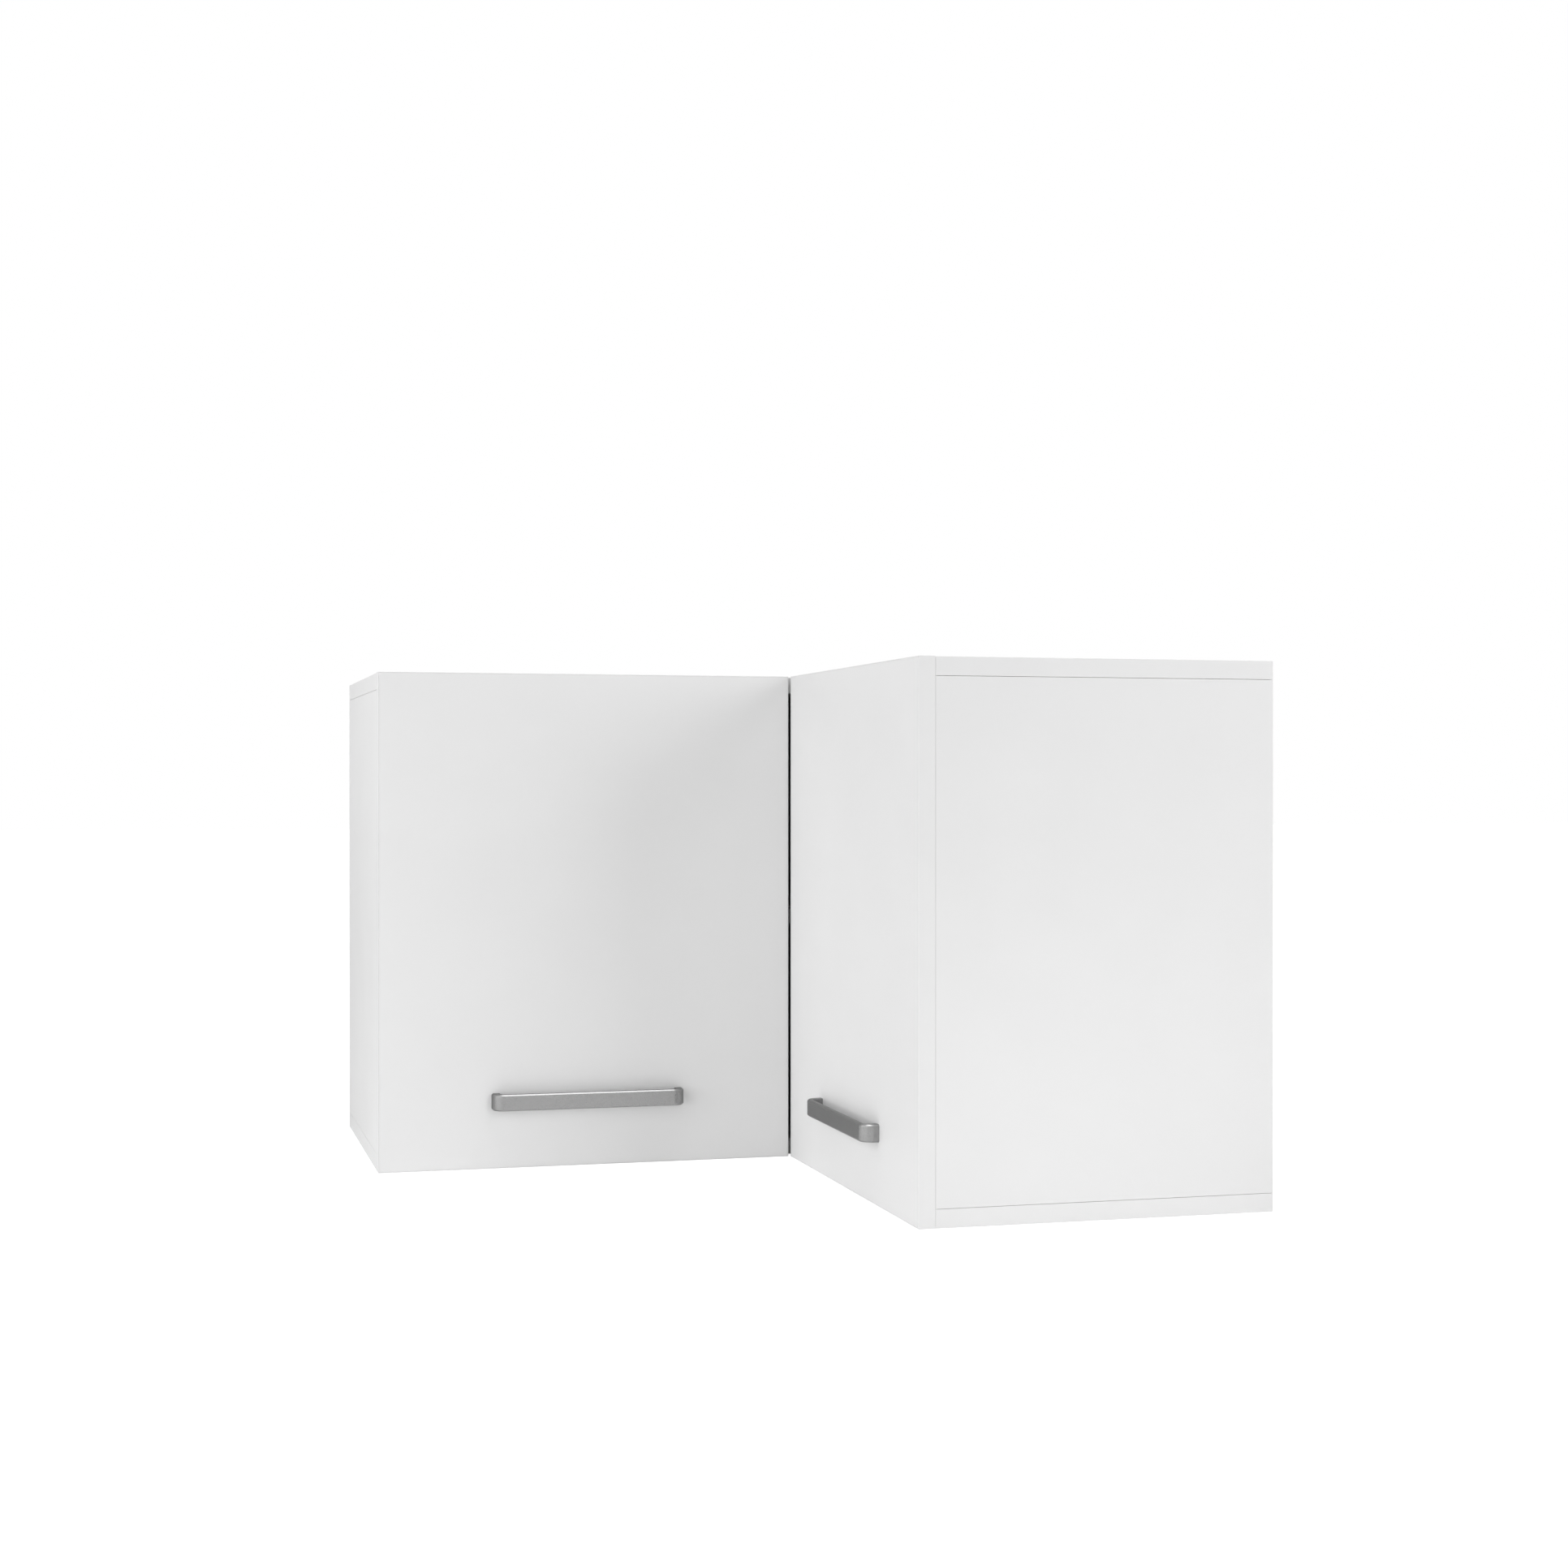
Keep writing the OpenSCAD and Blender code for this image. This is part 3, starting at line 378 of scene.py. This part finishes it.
def clear_rubber():
    """Soft clear polyurethane of the stick-on buffers: milky, and it lets some light through."""
    material, tree, shader = begin("clear_polyurethane", {"IOR": 1.49, "Roughness": 0.25,
                                                          "Transmission Weight": 0.5})
    place = add(tree, "ShaderNodeTexCoord").outputs["Object"]
    milk = add(tree, "ShaderNodeTexNoise", {"Vector": place, "Scale": 1 / (3 * MM), "Detail": 2.0})
    colour = add(tree, "ShaderNodeMix", {"Factor": milk, "A": rgba(linear("#DCDCD8")),
                                         "B": rgba(linear("#EFEFEC"))}, data_type="RGBA")
    surface = add(tree, "ShaderNodeBump", {"Height": milk, "Distance": 0.01 * MM})
    cover(shader, colour, surface)
    return material


def beech():
    """Planed beech of the dowels: pale pinkish brown, with short darker flecks along the upright grain."""
    material, tree, shader = begin("planed_beech", {"IOR": 1.5})
    place = add(tree, "ShaderNodeTexCoord").outputs["Object"]
    wood = linear("#C9A176")
    # flecks are 1 mm wide and about 6 mm long
    along = add(tree, "ShaderNodeMapping", {"Vector": place, "Scale": (1, 1, 1 / 6)})
    flecks = add(tree, "ShaderNodeTexNoise", {"Vector": along, "Scale": 1 / MM, "Detail": 4.0})
    colour = add(tree, "ShaderNodeMix", {"Factor": flecks, "A": rgba(shade(wood, 0.65)),
                                         "B": rgba(shade(wood, 1.25))}, data_type="RGBA")
    gloss = add(tree, "ShaderNodeMapRange", {"Value": flecks, "To Min": 0.7, "To Max": 0.5})
    surface = add(tree, "ShaderNodeBump", {"Height": flecks, "Distance": 0.03 * MM})
    cover(shader, colour, surface, gloss)
    return material


# the record's slot for each finish, and the function that makes it
FINISHES = {
    "white_board": faced_chipboard, "white_edging": white_edging, "white_hardboard": lacquered_hardboard,
    "satin_nickel": satin_nickel, "nickel_plated_steel": hinge_nickel, "zinc_plated_steel": zinc_plate,
    "pin_steel": pin_steel, "cast_zinc": cast_zinc, "white_plastic": moulded_plastic,
    "clear_rubber": clear_rubber, "beech": beech,
}
made_finishes = {}


def finish_for(slot):
    if slot not in made_finishes:
        made_finishes[slot] = FINISHES[slot]()
    return made_finishes[slot]


# Shapes

def new_mesh(name, shape):
    """A mesh of the shape, which is freed."""
    mesh = bpy.data.meshes.new(name)
    shape.to_mesh(mesh)
    shape.free()
    return mesh


def new_object(name, data):
    """An object in the scene that holds the data."""
    holder = bpy.data.objects.new(name, data)
    bpy.context.scene.collection.objects.link(holder)
    return holder


def bevel(shape, edges, width, segments):
    """Bevels the edges round, or flat with one segment, and gives what that makes."""
    return bmesh.ops.bevel(shape, geom=edges, offset=width, offset_type="OFFSET", segments=segments,
                           profile=0.5, affect="EDGES", clamp_overlap=True, material=-1)


def ease_arrises(shape, width, shortest):
    """Rounds the arrises that are at least as long as shortest."""
    arrises = [e for e in shape.edges if len(e.link_faces) == 2 and e.calc_face_angle(0) > ARRIS
               and e.calc_length() >= shortest]
    bevel(shape, arrises, width, 2)


def box_bar(shape, low, high, ease, front=0.0):
    """Adds a straight bar between two corners. Its arrises are eased, and those in front more if asked."""
    low, high = Vector(low), Vector(high)
    bar = bmesh.new()
    bmesh.ops.create_cube(bar, size=1.0)
    bmesh.ops.scale(bar, vec=high - low, verts=bar.verts)
    bmesh.ops.translate(bar, vec=(low + high) / 2, verts=bar.verts)
    if front:
        arrises = [e for e in bar.edges if all(abs(v.co.y - low.y) < WELD for v in e.verts)]
        bevel(bar, arrises, front, 3)
    ease_arrises(bar, ease, 0)
    mesh = new_mesh("bar", bar)
    shape.from_mesh(mesh)
    bpy.data.meshes.remove(mesh)


def merged_copy(node):
    """The CAD node's mesh with its loose triangles merged and its flat faces made whole."""
    shape = bmesh.new()
    shape.from_mesh(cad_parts[node].data)
    bmesh.ops.remove_doubles(shape, verts=shape.verts, dist=WELD)
    bmesh.ops.dissolve_limit(shape, angle_limit=FLAT, verts=shape.verts, edges=shape.edges)
    return shape


def to_right_wing(shape):
    """Turns a left wing piece into the right wing's, which mirrors it about the room corner's diagonal."""
    bmesh.ops.transform(shape, matrix=SWAP_XY, verts=shape.verts)
    bmesh.ops.recalc_face_normals(shape, faces=shape.faces)


def make_piece(shape, name, body, slot, replaced=()):
    """Makes the shape an object with its finish, riding on its body and standing for its CAD nodes."""
    open_edges = [e for e in shape.edges if len(e.link_faces) != 2]
    if open_edges:
        raise ValueError(f"{name} has {len(open_edges)} open edges")
    for face in shape.faces:
        face.smooth = True
    for edge in shape.edges:
        edge.smooth = edge.calc_face_angle(0) < CREASE
    mesh = new_mesh(name, shape)
    mesh.materials.append(finish_for(slot))
    piece = new_object(name, mesh)
    even = piece.modifiers.new("even_shading", "WEIGHTED_NORMAL")
    even.keep_sharp = True
    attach(piece, body)
    if replaced:
        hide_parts(*replaced)
    return piece


def eased_node(node, name, body, slot, width=0.0, shortest=0.0):
    """A CAD node's shape with eased arrises, which stands for the node."""
    shape = merged_copy(node)
    if width:
        ease_arrises(shape, width, shortest)
    return make_piece(shape, name, body, slot, [node])


def smooth_node(node, body, slot):
    """A CAD node's shape with its turned faces smooth, which stands for the node."""
    return eased_node(node, f"{node}_smooth", body, slot)


# Pieces

def make_carcass_boards():
    own = settings().carcass
    for node, name in (("top_panel", "top_board"), ("bottom_panel", "bottom_board"),
                       ("shelf", "shelf_board"), ("corner_post", "corner_upright")):
        eased_node(node, name, "carcass", "white_board", own.ease, BOARD_EDGE)
    for side in SIDES:
        shape = merged_copy(f"{side}_side_panel")
        # the end board stops short of the boards above and below by the joint's open line
        for z, step in ((PANEL_LOW.z, own.joint), (PANEL_HIGH.z, -own.joint)):
            level = [v for v in shape.verts if abs(v.co.z - z) < WELD]
            bmesh.ops.translate(shape, vec=(0, 0, step), verts=level)
        ease_arrises(shape, own.ease, BOARD_EDGE)
        make_piece(shape, f"{side}_end_board", "carcass", "white_board", [f"{side}_side_panel"])
        eased_node(f"{side}_back_panel", f"{side}_back_sheet", "carcass", "white_hardboard", own.ease,
                   BOARD_EDGE)


def make_front_edging():
    """Thin edging on the carcass's front edges, which closes most of the gap behind the doors."""
    own = settings().carcass
    out = CARCASS_FRONT - own.edging
    low_z, high_z, top_z = PANEL_LOW.z, PANEL_HIGH.z, BOARD_HIGH.z
    for side in SIDES:
        shape = bmesh.new()
        box_bar(shape, (WING_END, out, low_z), (PANEL_HIGH.x, CARCASS_FRONT, high_z), own.edging_arris)
        # the corner's butt joint: the left wing's strips run through
        end = CARCASS_FRONT if side == "left" else out
        for z0, z1 in ((0, low_z), (high_z, top_z)):
            box_bar(shape, (WING_END, out, z0), (end, CARCASS_FRONT, z1), own.edging_arris)
        if side == "right":
            to_right_wing(shape)
        make_piece(shape, f"{side}_front_edging", "carcass", "white_edging")


def make_doors():
    own = settings().door
    for side in SIDES:
        body = f"{side}_leaf"
        eased_node(f"{side}_door", f"{side}_door_leaf", body, "white_board", own.seam, BOARD_EDGE)
        low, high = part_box("left_door_edging")
        core_low, core_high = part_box("left_door")
        shape = bmesh.new()
        for x0, x1 in ((low.x, core_low.x), (core_high.x, high.x)):
            box_bar(shape, (x0, low.y, low.z), (x1, high.y, high.z), own.rear_arris, own.front_arris)
        for z0, z1 in ((low.z, core_low.z), (core_high.z, high.z)):
            box_bar(shape, (core_low.x, low.y, z0), (core_high.x, high.y, z1), own.rear_arris,
                    own.front_arris)
        if side == "right":
            to_right_wing(shape)
        make_piece(shape, f"{side}_door_banding", body, "white_edging", [f"{side}_door_edging"])
        eased_node(f"{side}_door_buffers", f"{side}_stick_on_buffers", body, "clear_rubber",
                   settings().fitting.cap_round)


def bow_shape(low, high, own):
    """A bow handle in its box: a strap with a leg at each end, bent in plan and chamfered outside."""
    shape = bmesh.new()
    foot, front, behind = high.y, low.y, low.y + own.strap
    plan = [(low.x, foot), (low.x, front), (high.x, front), (high.x, foot),
            (high.x - own.leg, foot), (high.x - own.leg, behind), (low.x + own.leg, behind),
            (low.x + own.leg, foot)]
    base = shape.faces.new([shape.verts.new((x, y, low.z)) for x, y in plan])
    raised = bmesh.ops.extrude_face_region(shape, geom=[base], use_keep_orig=True)["geom"]
    bmesh.ops.translate(shape, vec=(0, 0, high.z - low.z),
                        verts=[v for v in raised if isinstance(v, bmesh.types.BMVert)])
    bmesh.ops.recalc_face_normals(shape, faces=shape.faces)
    for line, radius, segments in ((front, own.bend, 12), (behind, own.inner_bend, 8)):
        corners = [e for e in shape.edges if all(abs(v.co.y - line) < WELD for v in e.verts)
                   and abs(e.verts[0].co.z - e.verts[1].co.z) > MM]
        bevel(shape, corners, radius, segments)
    # the level arrises of the outside, then those round the finger gap
    inside = Vector(((low.x + high.x) / 2, foot, 0))
    for outer, width, segments in ((True, own.chamfer, 1), (False, own.rear_round, 3)):
        arrises = []
        for edge in shape.edges:
            side_face = min(edge.link_faces, key=lambda f: abs(f.normal.z))
            level_face = max(edge.link_faces, key=lambda f: abs(f.normal.z))
            middle = (edge.verts[0].co + edge.verts[1].co) / 2
            away = side_face.normal.dot(Vector((middle.x, middle.y, 0)) - inside) > 0
            meets_level = abs(level_face.normal.z) > LEVEL and abs(side_face.normal.z) < UPRIGHT
            if meets_level and away == outer and any(abs(v.co.y - foot) > WELD for v in edge.verts):
                arrises.append(edge)
        made = bevel(shape, arrises, width, segments)
        if outer:
            chamfers = set(made["faces"])
    # tumbling rounds the chamfers' own arrises
    soft = [e for e in shape.edges if len(chamfers.intersection(e.link_faces)) == 1
            and any(abs(v.co.y - foot) > WELD for v in e.verts)]
    bevel(shape, soft, own.polish, 2)
    return shape


def make_handles():
    low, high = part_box("left_handle")
    for side in SIDES:
        shape = bow_shape(low, high, settings().handle)
        if side == "right":
            to_right_wing(shape)
        make_piece(shape, f"{side}_bow_handle", f"{side}_leaf", "satin_nickel", [f"{side}_handle"])
        smooth_node(f"{side}_handle_screws", f"{side}_leaf", "zinc_plated_steel")


def make_hinges():
    ease = settings().fitting.ease
    for side in SIDES:
        leaf, links = f"{side}_leaf", f"{side}_links"
        for node, name, body in (("hinge_cups", "cast_cups", leaf), ("hinge_links", "bent_links", links),
                                 ("hinge_arms", "pressed_arms", "carcass"),
                                 ("hinge_plates", "mounting_plates", "carcass")):
            eased_node(f"{side}_{node}", f"{side}_{name}", body, "nickel_plated_steel", ease, FITTING_EDGE)
        for node, body, slot in (("cup_screws", leaf, "zinc_plated_steel"), ("cup_pins", leaf, "pin_steel"),
                                 ("arm_screws", "carcass", "zinc_plated_steel"),
                                 ("plate_screws", "carcass", "zinc_plated_steel"),
                                 ("arm_pins", "carcass", "pin_steel")):
            smooth_node(f"{side}_{node}", body, slot)


def make_fittings():
    own = settings().fitting
    eased_node("cam_caps", "cam_cover_caps", "carcass", "white_plastic", own.cap_round / 2)
    for node, slot in (("cam_housings", "cast_zinc"), ("cam_bolts", "zinc_plated_steel"),
                       ("dowels", "beech"), ("post_shelf_pins", "zinc_plated_steel"),
                       ("left_shelf_pins", "zinc_plated_steel"), ("right_shelf_pins", "zinc_plated_steel")):
        smooth_node(node, "carcass", slot)


def make_hangers():
    ease = settings().fitting.ease
    for side in SIDES:
        for node, name, slot in (("hanger", "hanger_housing", "white_plastic"),
                                 ("hanger_hook", "hanging_hook", "zinc_plated_steel"),
                                 ("wall_plate", "wall_rail", "zinc_plated_steel")):
            eased_node(f"{side}_{node}", f"{side}_{name}", "carcass", slot, ease, FITTING_EDGE)
        smooth_node(f"{side}_hanger_screws", "carcass", "zinc_plated_steel")


# Studio

FLOOR_REACH = 20.0                 # from the middle to an edge
FLOOR_DROP = 0.5 * MM              # the cabinet stands clear of the floor, so that their faces don't mix
MIDDLE = (0, 0, 0.3)               # about the middle of the cabinet

# each soft light's place, the point that it faces, its width and height, and whether shiny surfaces show
# it; the strips fill the foot of the doors, and would draw bright bands in the handles' bends if shown
SOFT_LIGHTS = {
    "top_softbox": ((0, -0.45, 3.1), (0, -0.45, 0), (2.4, 1.6), True),
    "key_softbox": ((1.45, -2.51, 1.08), MIDDLE, (1.2, 1.2), True),
    "left_softbox": ((-2.87, -0.77, 1.2), MIDDLE, (3.6, 2.4), True),
    "left_strip": ((-1.3, -0.6, 0.1), (-0.3, 0, 0.1), (1.2, 0.2), False),
    "front_strip": ((0.2, -0.85, 0.06), (0.2, 0, 0.1), (0.8, 0.12), False),
}


def seen_directly(tree, to_camera, in_reflections):
    """One level for camera rays, one for glossy and transmission rays, and 0 for all other rays."""
    path = add(tree, "ShaderNodeLightPath")
    either = add(tree, "ShaderNodeMath", {0: path.outputs["Is Glossy Ray"],
                                          1: path.outputs["Is Transmission Ray"]}, operation="MAXIMUM")
    reflected = add(tree, "ShaderNodeMath", {0: either, 1: in_reflections}, operation="MULTIPLY")
    return add(tree, "ShaderNodeMath", {0: path.outputs["Is Camera Ray"], 1: to_camera, 2: reflected},
               operation="MULTIPLY_ADD")


def make_floor(own):
    """A large white floor at the cabinet's base: it looks white, and keeps the cabinet's soft shadow."""
    shape = bmesh.new()
    bmesh.ops.create_grid(shape, x_segments=1, y_segments=1, size=FLOOR_REACH)
    bmesh.ops.translate(shape, vec=(0, 0, -FLOOR_DROP), verts=shape.verts)
    mesh = new_mesh("studio_floor", shape)
    floor = new_object("studio_floor", mesh)
    material = bpy.data.materials.new("white_floor")
    tree = empty_tree(material)
    lit = add(tree, "ShaderNodeBsdfDiffuse", {"Color": rgba(linear("#F2F2F2"))})
    white = seen_directly(tree, own.floor_glow, own.floor_sheen)
    glow = add(tree, "ShaderNodeEmission", {"Color": (1, 1, 1, 1), "Strength": white})
    both = add(tree, "ShaderNodeAddShader", {0: lit, 1: glow})
    add(tree, "ShaderNodeOutputMaterial", {"Surface": both})
    mesh.materials.append(material)


def make_surround(own):
    """An even pale surround: white where it is seen, and at a plain level where it lights."""
    world = bpy.data.worlds.new("studio_surround")
    tree = empty_tree(world)
    strength = add(tree, "ShaderNodeMapRange", {"Value": seen_directly(tree, 1.0, 1.0), "To Min": own.sky,
                                                "To Max": 1.0})
    light = add(tree, "ShaderNodeBackground", {"Color": (1, 1, 1, 1), "Strength": strength})
    add(tree, "ShaderNodeOutputWorld", {"Surface": light})
    bpy.context.scene.world = world


def make_soft_light(name, place, target, size, mirrored, power):
    """A rectangular soft light at place that faces target, and shows in shiny surfaces if mirrored."""
    light = bpy.data.lights.new(name, "AREA")
    light.shape = "RECTANGLE"
    light.size, light.size_y = size
    light.energy = power
    box = new_object(name, light)
    box.location = place
    box.rotation_euler = (Vector(target) - Vector(place)).to_track_quat("-Z", "Y").to_euler()
    box.visible_camera = False
    box.visible_glossy = mirrored


def make_camera(own):
    camera = bpy.data.cameras.new("studio_camera")
    camera.lens = own.lens
    camera.sensor_width = 36
    holder = new_object("studio_camera", camera)
    holder.location = own.camera_place
    holder.rotation_euler = (math.radians(90), 0, own.camera_heading)
    bpy.context.scene.camera = holder


def make_studio():
    own = settings().studio
    bpy.context.scene.view_settings.view_transform = "Standard"
    make_floor(own)
    make_surround(own)
    for name, (place, target, size, mirrored) in SOFT_LIGHTS.items():
        make_soft_light(name, place, target, size, mirrored, getattr(own, name))
    make_camera(own)


# Operators, one for each piece or group of like pieces and one for the stage

class CABINET_OT_carcass(bpy.types.Operator):
    """Make the eased boards, end panels, upright and back sheets"""
    bl_idname = "cabinet.make_carcass"
    bl_label = "Carcass boards"

    def execute(self, context):
        make_carcass_boards()
        return {"FINISHED"}


class CABINET_OT_front_edging(bpy.types.Operator):
    """Make the edging on the front edges of the carcass"""
    bl_idname = "cabinet.make_front_edging"
    bl_label = "Front edging"

    def execute(self, context):
        make_front_edging()
        return {"FINISHED"}


class CABINET_OT_doors(bpy.types.Operator):
    """Make both doors with their edging and buffers"""
    bl_idname = "cabinet.make_doors"
    bl_label = "Doors"

    def execute(self, context):
        make_doors()
        return {"FINISHED"}


class CABINET_OT_handles(bpy.types.Operator):
    """Make both bow handles"""
    bl_idname = "cabinet.make_handles"
    bl_label = "Handles"

    def execute(self, context):
        make_handles()
        return {"FINISHED"}


class CABINET_OT_hinges(bpy.types.Operator):
    """Make the four concealed hinges"""
    bl_idname = "cabinet.make_hinges"
    bl_label = "Hinges"

    def execute(self, context):
        make_hinges()
        return {"FINISHED"}


class CABINET_OT_fittings(bpy.types.Operator):
    """Make the cam fittings, dowels and shelf pins"""
    bl_idname = "cabinet.make_fittings"
    bl_label = "Fittings"

    def execute(self, context):
        make_fittings()
        return {"FINISHED"}


class CABINET_OT_hangers(bpy.types.Operator):
    """Make the wall hangers and wall plates"""
    bl_idname = "cabinet.make_hangers"
    bl_label = "Hangers"

    def execute(self, context):
        make_hangers()
        return {"FINISHED"}


class CABINET_OT_studio(bpy.types.Operator):
    """Make the floor, the surround, the soft lights and the camera"""
    bl_idname = "cabinet.make_studio"
    bl_label = "Studio"

    def execute(self, context):
        make_studio()
        return {"FINISHED"}


OPERATORS = (CABINET_OT_carcass, CABINET_OT_front_edging, CABINET_OT_doors, CABINET_OT_handles,
             CABINET_OT_hinges, CABINET_OT_fittings, CABINET_OT_hangers, CABINET_OT_studio)


class CABINET_PT_main(bpy.types.Panel):
    bl_label = "Corner Wall Cabinet"
    bl_space_type = "VIEW_3D"
    bl_region_type = "UI"
    bl_category = "Cabinet"

    def draw(self, context):
        for operator in OPERATORS:
            self.layout.operator(operator.bl_idname)
        for name in ("carcass", "door", "handle", "fitting", "studio"):
            group = getattr(context.scene.corner_cabinet, name)
            box = self.layout.box()
            box.label(text=name.title())
            for key in group.__annotations__:
                box.prop(group, key)


CLASSES = (CarcassSettings, DoorSettings, HandleSettings, FittingSettings, StudioSettings, CabinetSettings,
           *OPERATORS, CABINET_PT_main)


def register():
    for one in CLASSES:
        bpy.utils.register_class(one)
    bpy.types.Scene.corner_cabinet = PointerProperty(type=CabinetSettings)


def unregister():
    del bpy.types.Scene.corner_cabinet
    for one in reversed(CLASSES):
        bpy.utils.unregister_class(one)


def main():
    register()
    for operator in OPERATORS:
        group, name = operator.bl_idname.split(".")
        getattr(getattr(bpy.ops, group), name)()


if __name__ == "__main__":
    main()
